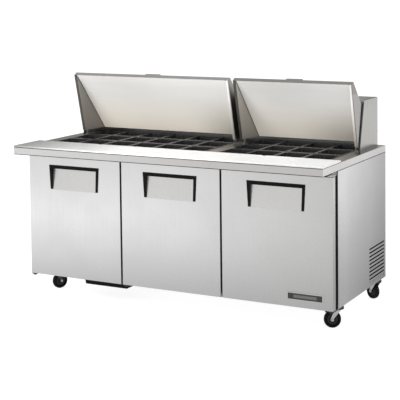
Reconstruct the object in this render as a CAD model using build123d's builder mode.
"""Refrigerated preparation counter: three doors, ten columns of food pans under two
open lids, a cutting board, a rear hood and four swivel castors.

X runs along the width with 0 at the middle, -X on the left as seen from the front.
Y runs from the front (-Y) to the wall (+Y). Z is up, with the floor at 0.
Depths are measured back from the front edge of the worktop; y_at() turns them into Y.
"""
from build123d import *
import os

os.makedirs("parts", exist_ok=True)

# ================================================================ driving dimensions (mm)
WIDTH = 1839.0            # over the worktop and the side panels
DEPTH = 867.0             # front edge of the worktop to the rear panel
BUMPER = 25.0             # rubber wall bumpers behind the rear panel
FRONT_Y = -(DEPTH + BUMPER) / 2  # centres the envelope on Y
HALF_W = WIDTH / 2
SHEET = 1.5               # thin stainless sheet
PANEL_T = 2.0             # outer panels of the cabinet
CAB_Z = 126.6             # underside of the cabinet
LEDGE_Z = 815.6           # underside of the worktop band
DECK_Z = 853.8            # worktop deck
CAB_FRONT = 181.8         # front face of the cabinet behind the door gaskets
CORE_X = HALF_W - PANEL_T  # inside faces of the side panels
CORE_BACK = DEPTH - PANEL_T  # inside face of the rear panel
PIN_R = 4.0               # hinge pins, fan shaft and knob shaft
BORE_R = PIN_R + 0.05     # holes that turn on them


def y_at(depth):
    """Y coordinate of a depth behind the front edge of the worktop."""
    return FRONT_Y + depth


def front_plane(depth):
    """Plane facing the front at a depth; its sketches are drawn in X and Z."""
    return Plane.XZ.offset(-y_at(depth))


def block(x0, x1, front, back, z0, z1, mode=Mode.ADD):
    """A box between two X in either order, two depths and two heights."""
    x0, x1 = sorted((x0, x1))
    with Locations(((x0 + x1) / 2, (y_at(front) + y_at(back)) / 2, (z0 + z1) / 2)):
        Box(x1 - x0, back - front, z1 - z0, mode=mode)


def prism_x(points, x0, x1, mode=Mode.ADD):
    """A section of (depth, height) points, extruded between two X in either order."""
    x0, x1 = sorted((x0, x1))
    with BuildSketch(Plane.YZ.offset(x0), mode=Mode.PRIVATE) as section:
        Polygon(*[(y_at(depth), z) for depth, z in points], align=None)
    extrude(section.sketch, amount=x1 - x0, mode=mode)


def rod(start, end, radius, mode=Mode.ADD):
    """A round bar between two (x, y, z) points."""
    start, end = Vector(*start), Vector(*end)
    run = end - start
    with BuildSketch(Plane(origin=start, z_dir=run), mode=Mode.PRIVATE) as section:
        Circle(radius)
    extrude(section.sketch, amount=run.length, dir=run.normalized(), mode=mode)


def rod_x(x0, x1, depth, z, radius, mode=Mode.ADD):
    """A round bar along X."""
    rod((x0, y_at(depth), z), (x1, y_at(depth), z), radius, mode)


def rod_y(x, depth0, depth1, z, radius, mode=Mode.ADD):
    """A round bar along Y, between two depths."""
    rod((x, y_at(depth0), z), (x, y_at(depth1), z), radius, mode)


def rod_z(x, depth, z0, z1, radius, mode=Mode.ADD):
    """An upright round bar."""
    rod((x, y_at(depth), z0), (x, y_at(depth), z1), radius, mode)


def save(builder, name):
    """Label a finished piece and write its STEP file."""
    builder.part.label = name
    export_step(builder.part, f"parts/{name}.step")


# ================================================================ cabinet
BASE_TOP = 150.0
PAD_TOP = 148.5           # castor pads and ribs, lapping into the top of the base
STEM_R = 6.3
CASTORS = {               # name: (x, depth, trail direction in degrees from +X)
    "fl": (-878.0, 290.0, 66.4),
    "fr": (878.0, 290.0, -157.0),
    "rl": (-878.0, 838.0, 20.0),
    "rr": (878.0, 838.0, 150.0),
}
TRAY_RAILS = (            # left, right, top: two lips, then the webs that carry them
    (-613, -602, 113),
    (-317, -307, 113),
    (-613, -611, PAD_TOP),
    (-309, -307, PAD_TOP),
)

# base: an inverted steel tray with castor pads and the rails of the drip tray
with BuildPart() as base_panel:
    block(-CORE_X, CORE_X, CAB_FRONT, CORE_BACK, CAB_Z, BASE_TOP)
    block(-CORE_X + PANEL_T, CORE_X - PANEL_T, CAB_FRONT + PANEL_T, CORE_BACK - PANEL_T,
          CAB_Z - 1, BASE_TOP - PANEL_T, mode=Mode.SUBTRACT)
    for x, depth, _ in CASTORS.values():
        block(x - 35, x + 35, depth - 30, min(depth + 30, CORE_BACK - 1.5), CAB_Z, PAD_TOP)
    for x in (-300, 300):
        block(x - 20, x + 20, CAB_FRONT + 1, CORE_BACK - 1, CAB_Z + 6, PAD_TOP)
    for x0, x1, top in TRAY_RAILS:
        block(x0, x1, 240, 560, 111, top)
    for x, depth, _ in CASTORS.values():
        rod_z(x, depth, CAB_Z - 1, 146.5, STEM_R, mode=Mode.SUBTRACT)
save(base_panel, "base_panel")

# left side, with a shallow rounded rectangular groove on its outer face
with BuildPart() as side_panel_left:
    block(-HALF_W, -CORE_X, CAB_FRONT, CORE_BACK, CAB_Z, LEDGE_Z)
    with BuildSketch(Plane.YZ.offset(-HALF_W)):
        with Locations((y_at(523), 470)):
            RectangleRounded(560, 600, 8)
            RectangleRounded(557, 597, 7, mode=Mode.SUBTRACT)
    extrude(amount=0.4, mode=Mode.SUBTRACT)
save(side_panel_left, "side_panel_left")

# right side, with ten louvre slots for the condensing unit
LOUVRE_Z = [149 + 20.1 * i for i in range(10)]
with BuildPart() as side_panel_right:
    block(CORE_X, HALF_W, CAB_FRONT, CORE_BACK, CAB_Z, LEDGE_Z)
    with BuildSketch(Plane.YZ.offset(CORE_X - 0.5)):
        with Locations(*[(y_at(728.5), z) for z in LOUVRE_Z]):
            SlotOverall(225, 8.5)
    extrude(amount=4, mode=Mode.SUBTRACT)
save(side_panel_right, "side_panel_right")

# rear panel, open behind the condensing unit and bored for the mains cord
CORD_X, CORD_Z = 860, 400
with BuildPart() as rear_panel:
    block(-HALF_W, HALF_W, CORE_BACK, DEPTH, CAB_Z, LEDGE_Z)
    block(440, 900, CORE_BACK - 1, DEPTH + 1, 160, 345, mode=Mode.SUBTRACT)
    with Locations(Location((CORD_X, y_at(DEPTH - 1), CORD_Z), (90, 0, 0))):
        Cylinder(9, 10, mode=Mode.SUBTRACT)
save(rear_panel, "rear_panel")

# slotted steel cover over the condensing unit, with a screw head in each corner
GRILLE_X0, GRILLE_X1, GRILLE_Z0, GRILLE_Z1 = 425, 915, 148, 357
SCREW_X = (GRILLE_X0 + 10, GRILLE_X1 - 10)
SCREW_Z = (GRILLE_Z0 + 8, GRILLE_Z1 - 8)
with BuildPart() as rear_grille:
    block(GRILLE_X0, GRILLE_X1, DEPTH, DEPTH + SHEET, GRILLE_Z0, GRILLE_Z1)
    with BuildSketch(front_plane(DEPTH - 1)):
        with Locations(*[(x, z) for x in (545, 670, 795) for z in range(172, 340, 18)]):
            SlotOverall(104, 7)
    extrude(amount=-4, mode=Mode.SUBTRACT)
    with Locations(*[Location((x, y_at(DEPTH + 2), z), (90, 0, 0))
                     for x in SCREW_X for z in SCREW_Z]):
        Cylinder(4, 3)
save(rear_grille, "rear_grille")

# cold room, stepped at the rear right over the machine compartment
ROOM_X, ROOM_FRONT, ROOM_BACK = 870.0, 200.0, 815.0
ROOM_Z0, ROOM_Z1 = 190.0, 770.0
STEP_X, STEP_FRONT, STEP_TOP = 380.0, 560.0, 390.0
STEP_WALL = 40.0
LINER_X = ROOM_X - SHEET
LINER_BACK = ROOM_BACK - SHEET
LINER_FLOOR = ROOM_Z0 + SHEET
LINER_STEP = STEP_TOP + SHEET

with BuildPart() as cabinet_foam:
    block(-CORE_X, CORE_X, ROOM_FRONT, CORE_BACK, BASE_TOP, LEDGE_Z)
    block(-ROOM_X, ROOM_X, ROOM_FRONT - 1, ROOM_BACK, ROOM_Z0, ROOM_Z1, mode=Mode.SUBTRACT)
    # room for the pan well
    block(-ROOM_X, ROOM_X, 236, ROOM_BACK, ROOM_Z1 - 1, LEDGE_Z + 1, mode=Mode.SUBTRACT)
    block(STEP_X, ROOM_X, STEP_FRONT, ROOM_BACK + 0.5, ROOM_Z0 - 0.5, STEP_TOP)
    # machine compartment, open to the right and the rear
    block(STEP_X + STEP_WALL, CORE_X + 0.5, STEP_FRONT + STEP_WALL, CORE_BACK + 1,
          BASE_TOP - 1, STEP_TOP - STEP_WALL, mode=Mode.SUBTRACT)
save(cabinet_foam, "cabinet_foam")

STEP_VOID = (STEP_X, ROOM_X + 1, STEP_FRONT, ROOM_BACK + 1, ROOM_Z0 - 1, STEP_TOP)
with BuildPart() as cabinet_liner:
    block(-ROOM_X, ROOM_X, ROOM_FRONT, ROOM_BACK, ROOM_Z0, ROOM_Z1)
    block(*STEP_VOID, mode=Mode.SUBTRACT)
    block(-LINER_X, LINER_X, ROOM_FRONT - 1, LINER_BACK, LINER_FLOOR, ROOM_Z1 + 1,
          mode=Mode.SUBTRACT)
    block(STEP_X - SHEET, ROOM_X, STEP_FRONT - SHEET, ROOM_BACK, ROOM_Z0, LINER_STEP)
    block(*STEP_VOID, mode=Mode.SUBTRACT)
save(cabinet_liner, "cabinet_liner")

DOORS = {                 # name: (left edge, right edge, hinge side)
    "left": (-915.5, -317.6, -1),
    "middle": (-309.6, 290.1, -1),
    "right": (298.1, 915.5, 1),
}
with BuildPart() as front_frame:
    block(-CORE_X, CORE_X, CAB_FRONT, ROOM_FRONT, BASE_TOP, LEDGE_Z)
    for left, right, _ in DOORS.values():
        x0 = max(left + 40, -LINER_X)
        x1 = min(right - 40, LINER_X)
        block(x0, x1, CAB_FRONT - 1, ROOM_FRONT + 1, LINER_FLOOR, 754, mode=Mode.SUBTRACT)
save(front_frame, "front_frame")

# ================================================================ worktop and pan well
PAN_X, PAN_Y, PAN_DEEP = 161.0, 176.0, 102.0   # one-sixth size pans over the rim
PAN_RIM = 1.6
PAN_PITCH_X, PAN_PITCH_Y = 162.0, 184.0
PANS_FRONT = 246.0        # front rim of the first pan row
PAN_SECTIONS = ((-848.0, 6), (200.5, 4))       # left end, number of columns
PAN_COLS = [x + PAN_PITCH_X * (i + 0.5) for x, count in PAN_SECTIONS for i in range(count)]
PAN_ROWS = [PANS_FRONT + PAN_Y / 2 + PAN_PITCH_Y * j for j in range(3)]
OPEN_EDGE = 8.0           # lap of the deck under the pan rims
OPEN_FRONT = PANS_FRONT + OPEN_EDGE
OPEN_BACK = PANS_FRONT + 2 * PAN_PITCH_Y + PAN_Y - OPEN_EDGE
OPENINGS = [(x + OPEN_EDGE, x + count * PAN_PITCH_X - OPEN_EDGE) for x, count in PAN_SECTIONS]

with BuildPart() as worktop:
    block(-HALF_W, HALF_W, 0, DEPTH, LEDGE_Z, DECK_Z)
    long_edges = worktop.edges().filter_by(Axis.X).group_by(Axis.Z)[-1]
    fillet(long_edges, 2.0)
    # closed hollow over the front ledge, then the open underside over the cabinet
    block(-HALF_W + SHEET, HALF_W - SHEET, SHEET, CAB_FRONT - SHEET,
          LEDGE_Z + SHEET, DECK_Z - SHEET, mode=Mode.SUBTRACT)
    block(-HALF_W + SHEET, HALF_W - SHEET, CAB_FRONT, DEPTH - SHEET,
          LEDGE_Z - 1, DECK_Z - SHEET, mode=Mode.SUBTRACT)
    for x0, x1 in OPENINGS:
        block(x0, x1, OPEN_FRONT, OPEN_BACK, DECK_Z - 3, DECK_Z + 1, mode=Mode.SUBTRACT)
save(worktop, "worktop")

# stainless collar hanging under the deck, with the partition between the sections
WELL_X, WELL_FRONT, WELL_BACK, WELL_Z = 856.0, 240.0, 800.0, 735.0
WELL_LIP = 14.0
PARTITION_X0, PARTITION_X1 = 161.5, 161.5 + SHEET
WELL_IN_X = WELL_X - SHEET
with BuildPart() as pan_well:
    block(-WELL_X, WELL_X, WELL_FRONT, WELL_BACK, WELL_Z, DECK_Z - SHEET)
    block(-WELL_IN_X, WELL_IN_X, WELL_FRONT + SHEET, WELL_BACK - SHEET,
          WELL_Z + SHEET, DECK_Z, mode=Mode.SUBTRACT)
    block(-WELL_X + WELL_LIP, WELL_X - WELL_LIP, WELL_FRONT + WELL_LIP, WELL_BACK - WELL_LIP,
          WELL_Z - 1, WELL_Z + 2, mode=Mode.SUBTRACT)
    block(PARTITION_X0, PARTITION_X1, WELL_FRONT + 1, WELL_BACK - 1, WELL_Z, DECK_Z - SHEET)
save(pan_well, "pan_well")

# bars between the pan rows, notched under the deck at their ends
BAR_HALF, BAR_Z = 9, DECK_Z - 10
BAR_ENDS = ((-WELL_IN_X, PARTITION_X0), (PARTITION_X1, WELL_IN_X))
with BuildPart() as pan_bars:
    for row in PAN_ROWS[:2]:
        depth = row + PAN_PITCH_Y / 2
        for (x0, x1), (end0, end1) in zip(OPENINGS, BAR_ENDS):
            block(x0 + 0.5, x1 - 0.5, depth - BAR_HALF, depth + BAR_HALF, BAR_Z, DECK_Z)
            block(end0, end1, depth - BAR_HALF, depth + BAR_HALF, BAR_Z, DECK_Z - SHEET - 0.2)
save(pan_bars, "pan_bars")

# one tapered pan: solid body, flat rim, then the inside lofted out
with BuildPart() as pan:
    with BuildSketch(Plane.XY.offset(DECK_Z)):
        RectangleRounded(146, 156, 16)
    with BuildSketch(Plane.XY.offset(DECK_Z - PAN_DEEP)):
        RectangleRounded(132, 142, 14)
    loft()
    fillet(pan.edges().group_by(Axis.Z)[0], 9)
    with BuildSketch(Plane.XY.offset(DECK_Z)):
        RectangleRounded(PAN_X, PAN_Y, 8)
    extrude(amount=PAN_RIM)
    with BuildSketch(Plane.XY.offset(DECK_Z + PAN_RIM)):
        RectangleRounded(144.4, 154.4, 15.2)
    with BuildSketch(Plane.XY.offset(DECK_Z - PAN_DEEP + 0.9)):
        RectangleRounded(130.2, 140.2, 13)
    loft(mode=Mode.SUBTRACT)

with BuildPart() as food_pans:
    with Locations(*[(x, y_at(depth), 0) for x in PAN_COLS for depth in PAN_ROWS]):
        add(pan.part)
save(food_pans, "food_pans")

BOARD_T, BOARD_DEPTH = 10.2, 225.0
NOTCH_X = 500
with BuildPart() as cutting_board:
    block(-HALF_W, HALF_W, 0, BOARD_DEPTH, DECK_Z, DECK_Z + BOARD_T)
    chamfer(cutting_board.edges().group_by(Axis.Z)[-1], 1.2)
    # finger notches in the rear edge for lifting the board out
    with Locations(*[(x, y_at(BOARD_DEPTH), DECK_Z + BOARD_T / 2) for x in (-NOTCH_X, NOTCH_X)]):
        Cylinder(14, BOARD_T * 2, mode=Mode.SUBTRACT)
save(cutting_board, "cutting_board")

# ================================================================ rear hood
HOOD_TOP = 1116.5
HOOD_X = 873.8
HOOD_IN_X = HOOD_X - SHEET
HOOD_FOOT, HOOD_BROW = 601.7, 667.0   # depth of the front edge at the deck and at the top
HOOD_IN_BACK = DEPTH - SHEET


def hood_front(z):
    """Depth of the slanted front edge of the hood ends at a height."""
    return HOOD_FOOT + (z - DECK_Z) * (HOOD_BROW - HOOD_FOOT) / (HOOD_TOP - DECK_Z)


with BuildPart() as hood_ends:
    section = [(HOOD_FOOT, DECK_Z), (HOOD_BROW, HOOD_TOP), (DEPTH, HOOD_TOP), (DEPTH, DECK_Z)]
    prism_x(section, -HOOD_X, -HOOD_IN_X)
    prism_x(section, HOOD_IN_X, HOOD_X)
save(hood_ends, "hood_ends")

# top, back and front lip
with BuildPart() as hood_back:
    block(-HOOD_IN_X, HOOD_IN_X, HOOD_BROW, DEPTH, HOOD_TOP - SHEET, HOOD_TOP)
    block(-HOOD_IN_X, HOOD_IN_X, HOOD_IN_BACK, DEPTH, DECK_Z, HOOD_TOP)
    block(-HOOD_IN_X, HOOD_IN_X, HOOD_BROW, HOOD_BROW + SHEET, HOOD_TOP - 9, HOOD_TOP)
save(hood_back, "hood_back")

with BuildPart() as hood_liner:
    prism_x(
        [(700, HOOD_TOP - SHEET), (HOOD_IN_BACK, HOOD_TOP - SHEET), (HOOD_IN_BACK, DECK_Z),
         (845, DECK_Z), (845, 1090), (700, 1090)],
        -HOOD_IN_X, HOOD_IN_X,
    )
save(hood_liner, "hood_liner")

# strips standing forward of the slanted edges
with BuildPart() as hood_edge_strips:
    strip = [(hood_front(1104), 1104), (641.5, 1100), (586.0, 855.5), (hood_front(855.5), 855.5)]
    for side in (-1, 1):
        prism_x(strip, side * HOOD_X, side * (HOOD_X - 2.5))
save(hood_edge_strips, "hood_edge_strips")

# ================================================================ lids, drawn open
# corners of the lid section as (depth, height); the lip is the raised front edge
LIP_IN, LIP_OUT = (499.8, 1214.0), (520.6, 1227.2)
TAIL_OUT, TAIL_IN = (827.6, 877.3), (778.2, 877.0)
HINGE_CORNER = (578.8, 879.7)
# the same corners on the inner face of the skin
LINER_LIP_IN, LINER_LIP_OUT, LINER_TAIL = (500.57, 1213.07), (520.38, 1225.64), (826.0, 877.3)
PIVOT_DEPTH, PIVOT_Z = 601.6, 879.7   # hinge pins
LID_SHEET = 1.2
CHEEK = 17.0              # thickness of the lid ends
EAR_R = 11.0              # rounds of the lid ends about the pins
LIDS = {"left": (-870.0, 147.9), "right": (174.6, 870.0)}
# unit directions as (depth, height): down the outer sheet and out of it
DOWN = (0.6595, -0.7517)
OUT = (-DOWN[1], DOWN[0])
GRIP_DROP, GRIP_REACH, GRIP_T = 16, 23, 2.5


def ear(x0, x1, radius=EAR_R, mode=Mode.ADD):
    """A round about the lid pivot."""
    rod_x(x0, x1, PIVOT_DEPTH, PIVOT_Z, radius, mode)


def lid_skin(name, left, right):
    """Folded stainless skin: outer sheet, front lip, both side plates and the grip."""
    with BuildPart() as skin:
        prism_x([LIP_IN, LIP_OUT, TAIL_OUT, LINER_TAIL, LINER_LIP_OUT, LINER_LIP_IN], left, right)
        for x0, x1 in ((left, left + LID_SHEET), (right - LID_SHEET, right)):
            prism_x([LIP_IN, LIP_OUT, TAIL_OUT, TAIL_IN, HINGE_CORNER], x0, x1)
            ear(x0, x1)
        # grip: a tapered tab standing out of the sheet, with its end folded down
        middle = (left + right) / 2
        depth = LIP_OUT[0] + GRIP_DROP * DOWN[0]
        z = LIP_OUT[1] + GRIP_DROP * DOWN[1]
        tab_plane = Plane(origin=(middle, y_at(depth), z), x_dir=(1, 0, 0), z_dir=(0, *DOWN))
        with BuildSketch(tab_plane, mode=Mode.PRIVATE) as tab:
            Polygon((-56, 0.8), (56, 0.8), (47, -GRIP_REACH), (-47, -GRIP_REACH), align=None)
        extrude(tab.sketch, amount=GRIP_T)
        hook_origin = (middle, y_at(depth + OUT[0] * GRIP_REACH), z + OUT[1] * GRIP_REACH)
        hook_plane = Plane(origin=hook_origin, x_dir=(1, 0, 0), z_dir=(0, *OUT))
        with BuildSketch(hook_plane, mode=Mode.PRIVATE) as hook:
            Rectangle(94, 12, align=(Align.CENTER, Align.MIN))
        extrude(hook.sketch, amount=-GRIP_T)
    save(skin, f"lid_{name}_skin")


def lid_liner(name, left, right):
    """Foam-filled inner liner with its two triangular cheeks."""
    x0, x1 = left + LID_SHEET, right - LID_SHEET
    with BuildPart() as liner:
        prism_x([LINER_LIP_IN, LINER_LIP_OUT, LINER_TAIL, TAIL_IN], x0, x1)
        for cheek in ((x0, left + CHEEK), (right - CHEEK, x1)):
            prism_x([LINER_LIP_IN, TAIL_IN, HINGE_CORNER], *cheek)
            ear(*cheek)
        ear(left + CHEEK - 15, left + CHEEK + 1, BORE_R, Mode.SUBTRACT)
        ear(right - CHEEK - 1, right - CHEEK + 15, BORE_R, Mode.SUBTRACT)
    save(liner, f"lid_{name}_liner")


for name, (left, right) in LIDS.items():
    lid_skin(name, left, right)
    lid_liner(name, left, right)

# four hinge brackets on the deck, each with its pin; side points into the lid opening
with BuildPart() as lid_hinge_brackets:
    for left, right in LIDS.values():
        for inner, side in ((left + CHEEK, 1), (right - CHEEK, -1)):
            near, far = inner + 0.7 * side, inner + 3.5 * side
            block(near, far, 592, 611.2, DECK_Z, PIVOT_Z)
            ear(*sorted((near, far)), 9.6)
            block(inner - 13 * side, far, 588, 616, DECK_Z, DECK_Z + 2.5)
            ear(far, inner - 13.5 * side, PIN_R)
save(lid_hinge_brackets, "lid_hinge_brackets")

# ================================================================ doors
DOOR_FACE = 127.7         # depth of the door faces, under the overhang of the worktop
DOOR_T = 40.0
DOOR_BACK = DOOR_FACE + DOOR_T
DOOR_Z0, DOOR_Z1 = 128.1, 792.3
DOOR_SHEET = 1.2
GASKET_BACK = CAB_FRONT - 1.0
POCKET_HALF, POCKET_Z0, POCKET_Z1, POCKET_DEEP = 149.0, 612.0, 731.0, 17.0
HINGE_IN = 14.0           # hinge axis from the door edge
HINGE_DEPTH = DOOR_FACE + 15.0


def hinge_x(left, right, side):
    """X of the hinge axis of a door."""
    return left + HINGE_IN if side < 0 else right - HINGE_IN


def door_slab(left, right, inset, front, back, mode=Mode.ADD):
    """A block set in by the same amount from all four edges of a door."""
    block(left + inset, right - inset, front, back, DOOR_Z0 + inset, DOOR_Z1 - inset, mode)


def door_skin(name, left, right, pin_x):
    """Folded stainless skin with the sloped back of the finger pocket."""
    middle = (left + right) / 2
    pocket = (middle - POCKET_HALF, middle + POCKET_HALF)
    pocket_back = DOOR_FACE + POCKET_DEEP
    with BuildPart() as skin:
        door_slab(left, right, 0, DOOR_FACE, DOOR_BACK)
        fillet(skin.edges().filter_by(Axis.Z).group_by(Axis.Y)[0], 1.5)
        door_slab(left, right, DOOR_SHEET, DOOR_FACE + DOOR_SHEET, DOOR_BACK + 1, Mode.SUBTRACT)
        block(*pocket, DOOR_FACE - 1, DOOR_FACE + 2, POCKET_Z0, POCKET_Z1, mode=Mode.SUBTRACT)
        prism_x(
            [(DOOR_FACE, POCKET_Z0 - 0.5), (pocket_back, POCKET_Z1),
             (pocket_back + 1.3, POCKET_Z1), (DOOR_FACE + 1.3, POCKET_Z0 - 0.5)],
            *pocket,
        )
        for z0, z1 in ((DOOR_Z0 - 1, DOOR_Z0 + 2), (DOOR_Z1 - 2, DOOR_Z1 + 1)):
            rod_z(pin_x, HINGE_DEPTH, z0, z1, BORE_R, mode=Mode.SUBTRACT)
    save(skin, f"door_{name}_skin")


def door_liner(name, left, right, pin_x):
    """Foam-filled liner closing the back of the door."""
    middle = (left + right) / 2
    with BuildPart() as liner:
        door_slab(left, right, DOOR_SHEET, DOOR_FACE + DOOR_SHEET, DOOR_BACK)
        door_slab(left, right, 46, DOOR_BACK - 3, DOOR_BACK + 1, Mode.SUBTRACT)
        prism_x(
            [(DOOR_FACE - 1, POCKET_Z0 - 4), (DOOR_FACE + 1.9, POCKET_Z0 - 4),
             (DOOR_FACE + POCKET_DEEP + 2.6, POCKET_Z1 + 1), (DOOR_FACE - 1, POCKET_Z1 + 1)],
            middle - POCKET_HALF - 1, middle + POCKET_HALF + 1, mode=Mode.SUBTRACT,
        )
        for z0, z1 in ((DOOR_Z0, DOOR_Z0 + 20), (DOOR_Z1 - 20, DOOR_Z1)):
            rod_z(pin_x, HINGE_DEPTH, z0, z1, BORE_R, mode=Mode.SUBTRACT)
    save(liner, f"door_{name}_liner")


def door_gasket(name, left, right):
    """Magnetic gasket: a rubber ring with a groove round its outside."""
    opening = (28, DOOR_BACK - 1, GASKET_BACK + 1, Mode.SUBTRACT)
    with BuildPart() as gasket:
        door_slab(left, right, 8, DOOR_BACK, GASKET_BACK)
        door_slab(left, right, *opening)
        # cut right across at the groove, then fill back to its floor
        door_slab(left, right, 6, DOOR_BACK + 4, DOOR_BACK + 6, Mode.SUBTRACT)
        door_slab(left, right, 12, DOOR_BACK + 3.9, DOOR_BACK + 6.1)
        door_slab(left, right, *opening)
    save(gasket, f"door_{name}_gasket")


def door_handle(name, middle):
    """Moulded handle: an inverted U on the face and the walls of the finger pocket."""
    wall_back = DOOR_FACE + POCKET_DEEP - 1.0
    with BuildPart() as handle:
        with BuildSketch(front_plane(DOOR_FACE), mode=Mode.PRIVATE) as face:
            Polygon((middle - 162.5, 748), (middle + 162.5, 748),
                    (middle + 155, 614), (middle - 155, 614), align=None)
            Polygon((middle - 146, 729), (middle + 146, 729),
                    (middle + 141.5, 613), (middle - 141.5, 613),
                    align=None, mode=Mode.SUBTRACT)
        extrude(face.sketch, amount=3.0)
        fillet(handle.edges().filter_by(Axis.X).group_by(Axis.Z)[-1], 1.4)
        for side in (-1, 1):
            prism_x([(DOOR_FACE, 616), (DOOR_FACE, 728.5), (wall_back, 728.5)],
                    middle + side * 146, middle + side * 148.5)
        block(middle - 148.5, middle + 148.5, DOOR_FACE, wall_back, 728.5, 730.8)
    save(handle, f"door_{name}_handle")


for name, (left, right, side) in DOORS.items():
    pin_x = hinge_x(left, right, side)
    door_skin(name, left, right, pin_x)
    door_liner(name, left, right, pin_x)
    door_gasket(name, left, right)
    door_handle(name, (left + right) / 2)

# six hinge brackets: below each door under the base, above it on the front frame
BRACKET_HALF = 13.5
with BuildPart() as door_hinge_brackets:
    for left, right, side in DOORS.values():
        pin_x = hinge_x(left, right, side)
        x0, x1 = pin_x - BRACKET_HALF, pin_x + BRACKET_HALF
        block(x0, x1, 133, 232, CAB_Z - 6, CAB_Z)
        rod_z(pin_x, HINGE_DEPTH, CAB_Z - 10, DOOR_Z0 + 18, PIN_R)
        rod_z(pin_x, HINGE_DEPTH, CAB_Z - 11, CAB_Z - 5, 8.0)
        block(x0, x1, 131, CAB_FRONT, DOOR_Z1 + 3, DOOR_Z1 + 7)
        block(x0, x1, CAB_FRONT - 3, CAB_FRONT, DOOR_Z1 + 3, LEDGE_Z)
        rod_z(pin_x, HINGE_DEPTH, DOOR_Z1 - 18, DOOR_Z1 + 9, PIN_R)
        rod_z(pin_x, HINGE_DEPTH, DOOR_Z1 + 3, DOOR_Z1 + 11, 7.0)
save(door_hinge_brackets, "door_hinge_brackets")

# plain badge plate on the right door, with a recessed face
BADGE_T = 1.6
with BuildPart() as badge:
    block(663, 866, DOOR_FACE - BADGE_T, DOOR_FACE, 161, 205)
    fillet(badge.edges().filter_by(Axis.Y), 3)
    with BuildSketch(front_plane(DOOR_FACE - BADGE_T)):
        with Locations((764.5, 183)):
            RectangleRounded(195, 36, 2)
    extrude(amount=-0.5, mode=Mode.SUBTRACT)
save(badge, "badge")

# ================================================================ shelves
SHELF_FRONT, SHELF_BACK = 214.0, 690.0
SHELF_MID = (SHELF_FRONT + SHELF_BACK) / 2
SLAT_SPACES = 11
SHELF_BAYS = (            # left, right, heights of the two shelves
    (-856.0, -372.0, (330.0, 520.0)),
    (-262.0, 242.0, (330.0, 520.0)),
    (352.0, 856.0, (425.0, 580.0)),
)


def shelf(x0, x1, z):
    """Wire shelf: a rectangular border, a middle cross bar, and slats laid on top."""
    block(x0, x1, SHELF_FRONT, SHELF_BACK, z - 3, z + 3)
    block(x0 + 5, x1 - 5, SHELF_FRONT + 5, SHELF_BACK - 5, z - 4, z + 4, mode=Mode.SUBTRACT)
    block(x0 + 4, x1 - 4, SHELF_MID - 2.5, SHELF_MID + 2.5, z - 3, z + 1)
    for i in range(1, SLAT_SPACES):
        x = x0 + (x1 - x0) * i / SLAT_SPACES
        block(x - 1.6, x + 1.6, SHELF_FRONT + 1, SHELF_BACK - 1, z + 1, z + 4.2)


with BuildPart() as shelves:
    for left, right, levels in SHELF_BAYS:
        for z in levels:
            shelf(left, right, z)
save(shelves, "shelves")

# pilasters with clips under the shelves, standing on the floor or on the step
with BuildPart() as shelf_supports:
    for left, right, levels in SHELF_BAYS:
        for x, side in ((left, -1), (right, 1)):
            for depth in (SHELF_FRONT + 30, SHELF_BACK - 40):
                on_step = x > STEP_X - 2 and depth > STEP_FRONT - 2
                foot = LINER_STEP if on_step else LINER_FLOOR
                block(x + side * 1.0, x + side * 9.0, depth - 8, depth + 8, foot, 700)
                for z in levels:
                    block(x - side * 9.0, x + side * 1.5, depth - 6, depth + 6, z - 6.5, z - 3.05)
save(shelf_supports, "shelf_supports")

# ================================================================ refrigeration
COMP_X, COMP_DEPTH = 790.0, 745.0
COMP_R = 80
with BuildPart() as compressor:
    with BuildSketch(front_plane(COMP_DEPTH)):
        with BuildLine():
            Polyline((COMP_X, 165), (COMP_X + 66, 165), (COMP_X + COMP_R, 182),
                     (COMP_X + COMP_R, 262))
            RadiusArc((COMP_X + COMP_R, 262), (COMP_X, 322), -88)
            Line((COMP_X, 322), (COMP_X, 165))
        make_face()
    revolve(axis=Axis((COMP_X, y_at(COMP_DEPTH), 0), (0, 0, 1)))
    # four feet, the mounting plate and a stub pipe
    for dx in (-62, 62):
        for dy in (-62, 62):
            rod_z(COMP_X + dx, COMP_DEPTH + dy, BASE_TOP, 168, 12)
    block(COMP_X - 74, COMP_X + 74, COMP_DEPTH - 74, COMP_DEPTH + 74, 166, 170)
    rod_z(COMP_X - 20, COMP_DEPTH, 300, 338, 5)
save(compressor, "compressor")

# finned block with grooves on both faces and four tubes running through
with BuildPart() as condenser_coil:
    block(440, 484, 625, 845, 152, 342)
    for i in range(26):
        depth = 630.0 + i * 8.2
        block(439, 441.5, depth, depth + 5.2, 156, 338, mode=Mode.SUBTRACT)
        block(482.5, 485, depth, depth + 5.2, 156, 338, mode=Mode.SUBTRACT)
    for z in (180, 230, 280, 322):
        rod_y(462, 619, 851, z, 5)
save(condenser_coil, "condenser_coil")

# motor body, shaft, post and foot
FAN_DEPTH, FAN_Z = 735.0, 247.0
with BuildPart() as condenser_fan_motor:
    rod_x(532, 588, FAN_DEPTH, FAN_Z, 34)
    rod_x(505, 535, FAN_DEPTH, FAN_Z, PIN_R)
    block(556, 562, FAN_DEPTH - 14, FAN_DEPTH + 14, BASE_TOP, FAN_Z)
    block(545, 580, FAN_DEPTH - 40, FAN_DEPTH + 40, BASE_TOP, BASE_TOP + 4)
save(condenser_fan_motor, "condenser_fan_motor")


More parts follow.
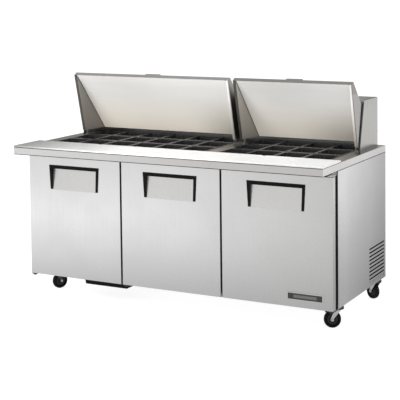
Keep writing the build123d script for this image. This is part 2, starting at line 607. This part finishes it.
def fan(plane, hub_r, tip_r, hub_len, bore):
    """Four-bladed fan on a plane: hub, pitched blades trimmed to a circle, shaft bore."""
    with BuildPart() as rotor:
        with BuildSketch(Plane.XY):
            Circle(hub_r)
        extrude(amount=hub_len)
        for k in range(4):
            with Locations(Location((0, 0, hub_len / 2), (0, 0, 90 * k))):
                with Locations(Location(((hub_r + tip_r) / 2 - 2, 0, 0), (28, 0, 0))):
                    Box(tip_r - hub_r + 4, tip_r * 0.55, 2.0)
        with BuildSketch(Plane.XY.offset(-20)):
            Circle(tip_r + 40)
            Circle(tip_r, mode=Mode.SUBTRACT)
        extrude(amount=60, mode=Mode.SUBTRACT)
        with BuildSketch(Plane.XY.offset(-1)):
            Circle(bore)
        extrude(amount=hub_len + 2, mode=Mode.SUBTRACT)
    return plane.location * rotor.part


with BuildPart() as condenser_fan:
    add(fan(Plane(origin=(508, y_at(FAN_DEPTH), FAN_Z), z_dir=(1, 0, 0)),
            hub_r=16, tip_r=84, hub_len=14, bore=BORE_R))
save(condenser_fan, "condenser_fan")

EVAP_FRONT, EVAP_BACK = 752.0, 806.0
EVAP_FAN_X, EVAP_FAN_Z = 255, 633
KNOB_X, KNOB_Z = -325, 650
with BuildPart() as evaporator_coil:
    block(-300, 180, EVAP_FRONT, EVAP_BACK, 560, 706)
    block(-292, 172, EVAP_FRONT - 1, EVAP_FRONT + 3, 568, 698, mode=Mode.SUBTRACT)
    for i in range(36):
        x = -288 + i * 12.7
        block(x, x + 2.5, EVAP_FRONT + 0.5, EVAP_FRONT + 4, 568, 698)
    # fan housing with its round recess, and the bar to the rear wall
    block(180, 330, EVAP_FRONT + 20, EVAP_BACK, 556, 710)
    rod_y(EVAP_FAN_X, EVAP_FRONT + 30, EVAP_FRONT + 10, EVAP_FAN_Z, 70, mode=Mode.SUBTRACT)
    block(-300, 330, EVAP_BACK - 1, LINER_BACK, 600, 640)
    # control box that carries the thermostat
    block(-350, -299, EVAP_FRONT + 6, EVAP_BACK, 580, 686)
    rod_y(KNOB_X, EVAP_FRONT - 6, EVAP_FRONT + 8, KNOB_Z, PIN_R)
save(evaporator_coil, "evaporator_coil")

EVAP_SHAFT_R = 3
with BuildPart() as evaporator_fan_motor:
    rod_y(EVAP_FAN_X, EVAP_FRONT + 22, EVAP_FRONT + 30, EVAP_FAN_Z, 24)
    rod_y(EVAP_FAN_X, EVAP_FRONT + 2, EVAP_FRONT + 23, EVAP_FAN_Z, EVAP_SHAFT_R)
save(evaporator_fan_motor, "evaporator_fan_motor")

with BuildPart() as evaporator_fan:
    add(fan(Plane(origin=(EVAP_FAN_X, y_at(EVAP_FRONT + 15), EVAP_FAN_Z), z_dir=(0, -1, 0)),
            hub_r=12, tip_r=66, hub_len=10, bore=EVAP_SHAFT_R + 0.05))
save(evaporator_fan, "evaporator_fan")

# round skirt, twelve-sided grip and a raised pointer
with BuildPart() as thermostat_knob:
    with BuildSketch(front_plane(EVAP_FRONT + 5.5)):
        with Locations((KNOB_X, KNOB_Z)):
            Circle(17)
    extrude(amount=5)
    with BuildSketch(front_plane(EVAP_FRONT + 0.5)):
        with Locations((KNOB_X, KNOB_Z)):
            RegularPolygon(13, 12)
    extrude(amount=12)
    block(KNOB_X - 2, KNOB_X + 2, EVAP_FRONT - 13, EVAP_FRONT + 1, KNOB_Z, KNOB_Z + 12.5)
    rod_y(KNOB_X, EVAP_FRONT + 8, EVAP_FRONT - 7, KNOB_Z, BORE_R, mode=Mode.SUBTRACT)
save(thermostat_knob, "thermostat_knob")

# shallow condensate tray hung in the rails under the base
with BuildPart() as drip_tray:
    with BuildSketch(front_plane(192)):
        Polygon((-594, 86), (-326, 86), (-320, 113.6), (-600, 113.6), align=None)
    extrude(amount=-230)
    block(-609.5, -310.5, 188, 425, 113.6, 116.0)
    with BuildSketch(front_plane(194)):
        Polygon((-592, 88), (-328, 88), (-321.5, 117), (-598.5, 117), align=None)
    extrude(amount=-226, mode=Mode.SUBTRACT)
save(drip_tray, "drip_tray")

# rubber wall bumpers on the rear panel and on the back of the hood
BUMPER_PLACES = ((-855, 924), (855, 924), (-560, 740), (560, 740), (-560, 220), (250, 220))
with BuildPart() as rear_bumpers:
    for place in BUMPER_PLACES:
        with BuildSketch(front_plane(DEPTH)):
            with Locations(place):
                Circle(14)
        extrude(amount=-BUMPER, taper=8)
save(rear_bumpers, "rear_bumpers")

# mains cord: out of the rear panel, down, across and up again to a moulded plug
PLUG_X, CORD_LOW, CORD_Y = 740, 290, y_at(880)
with BuildPart() as power_cord:
    with BuildLine() as run:
        FilletPolyline(
            (CORD_X, y_at(865.2), CORD_Z), (CORD_X, CORD_Y, CORD_Z), (CORD_X, CORD_Y, CORD_LOW),
            (PLUG_X, CORD_Y, CORD_LOW), (PLUG_X, CORD_Y, CORD_Z),
            radius=9,
        )
    with BuildSketch(Plane(origin=run.line @ 0, z_dir=run.line % 0)):
        Circle(4.5)
    sweep()
    with BuildSketch(Plane(origin=run.line @ 1, z_dir=run.line % 1)):
        RectangleRounded(30, 20, 5)
    extrude(amount=38)
save(power_cord, "power_cord")

# ================================================================ castors
# drawn about the stem on the floor, trailing along +X, then turned into place
WHEEL_R, TRAIL = 44.0, 32.0
BRAKE_X, BRAKE_Z, BRAKE_ROD_R = 64, 88, 3.0
BRAKED = ("fl", "fr")
STEM_PROFILE = (          # (radius, height)
    (0, 92.5), (9, 92.5), (9, 97.5), (6.0, 97.5), (6.0, 103.5), (27, 103.5), (27, 108),
    (20, 113), (12, 115), (12, CAB_Z), (STEM_R, CAB_Z), (STEM_R, 146), (0, 146), (0, 92.5),
)
WHEEL_PROFILE = (         # (radius, distance along the axle)
    (5.05, -15), (13, -15), (15, -7), (30, -6), (33, -13), (38, -14), (42, -11.5),
    (WHEEL_R, -6), (WHEEL_R, 6), (42, 11.5), (38, 14), (33, 13), (30, 6), (15, 7),
    (13, 15), (5.05, 15), (5.05, -15),
)


def in_place(shape, name):
    """A castor piece turned and moved to its corner."""
    x, depth, angle = CASTORS[name]
    return Location((x, y_at(depth), 0), (0, 0, angle)) * shape


def save_castor_piece(shape, kind, name):
    with BuildPart() as piece:
        add(in_place(shape, name))
    save(piece, f"castor_{kind}_{name}")


with BuildPart() as stem:
    with BuildSketch(Plane.XZ):
        with BuildLine():
            Polyline(*STEM_PROFILE)
        make_face()
    revolve(axis=Axis.Z)

with BuildPart() as castor_stems:
    for name in CASTORS:
        add(in_place(stem.part, name))
save(castor_stems, "castor_stems")


def fork(with_brake):
    """Swivel plate, two side plates, axle with its end caps, and the brake rod."""
    with BuildPart() as body:
        with BuildSketch(Plane.XY.offset(98)):
            Circle(27)
        extrude(amount=5)
        for side in (-1, 1):
            with BuildSketch(Plane.XZ.offset(side * 16)):
                with Locations((1, 99.5)):
                    Rectangle(34, 3)
                with Locations((TRAIL, WHEEL_R)):
                    Circle(9.5)
                if with_brake:
                    with Locations((BRAKE_X, BRAKE_Z)):
                        Circle(5.5)
                make_hull()
            extrude(amount=side * 3)
        rod((TRAIL, -22, WHEEL_R), (TRAIL, 22, WHEEL_R), 5.0)
        for side in (-1, 1):
            rod((TRAIL, side * 18.5, WHEEL_R), (TRAIL, side * 23, WHEEL_R), 8.0)
        if with_brake:
            rod((BRAKE_X, -20.5, BRAKE_Z), (BRAKE_X, 20.5, BRAKE_Z), BRAKE_ROD_R)
        with BuildSketch(Plane.XY.offset(97)):
            Circle(6.05)
        extrude(amount=7, mode=Mode.SUBTRACT)
    return body.part


with BuildPart() as wheel:
    with BuildSketch(Plane.XY):
        with BuildLine():
            Polyline(*WHEEL_PROFILE)
        make_face()
    revolve(axis=Axis.Y)

# foot brake: a pedal and a shoe on a sleeve about the cross rod of the fork
with BuildPart() as brake:
    rod((BRAKE_X, -13, BRAKE_Z), (BRAKE_X, 13, BRAKE_Z), 6.0)
    with BuildSketch(Plane.XZ.offset(-13)):
        Polygon((64, 91), (100, 96), (101, 99), (98, 100), (64, 94), align=None)
    extrude(amount=26)
    with BuildSketch(Plane.XZ.offset(-9)):
        Polygon((61, 84), (67, 84), (69, 79), (65, 79), align=None)
    extrude(amount=18)
    rod((BRAKE_X, -14, BRAKE_Z), (BRAKE_X, 14, BRAKE_Z), BRAKE_ROD_R + 0.05, mode=Mode.SUBTRACT)

for name in CASTORS:
    save_castor_piece(fork(name in BRAKED), "fork", name)
    save_castor_piece(Location((TRAIL, 0, WHEEL_R)) * wheel.part, "wheel", name)
    if name in BRAKED:
        save_castor_piece(brake.part, "brake", name)
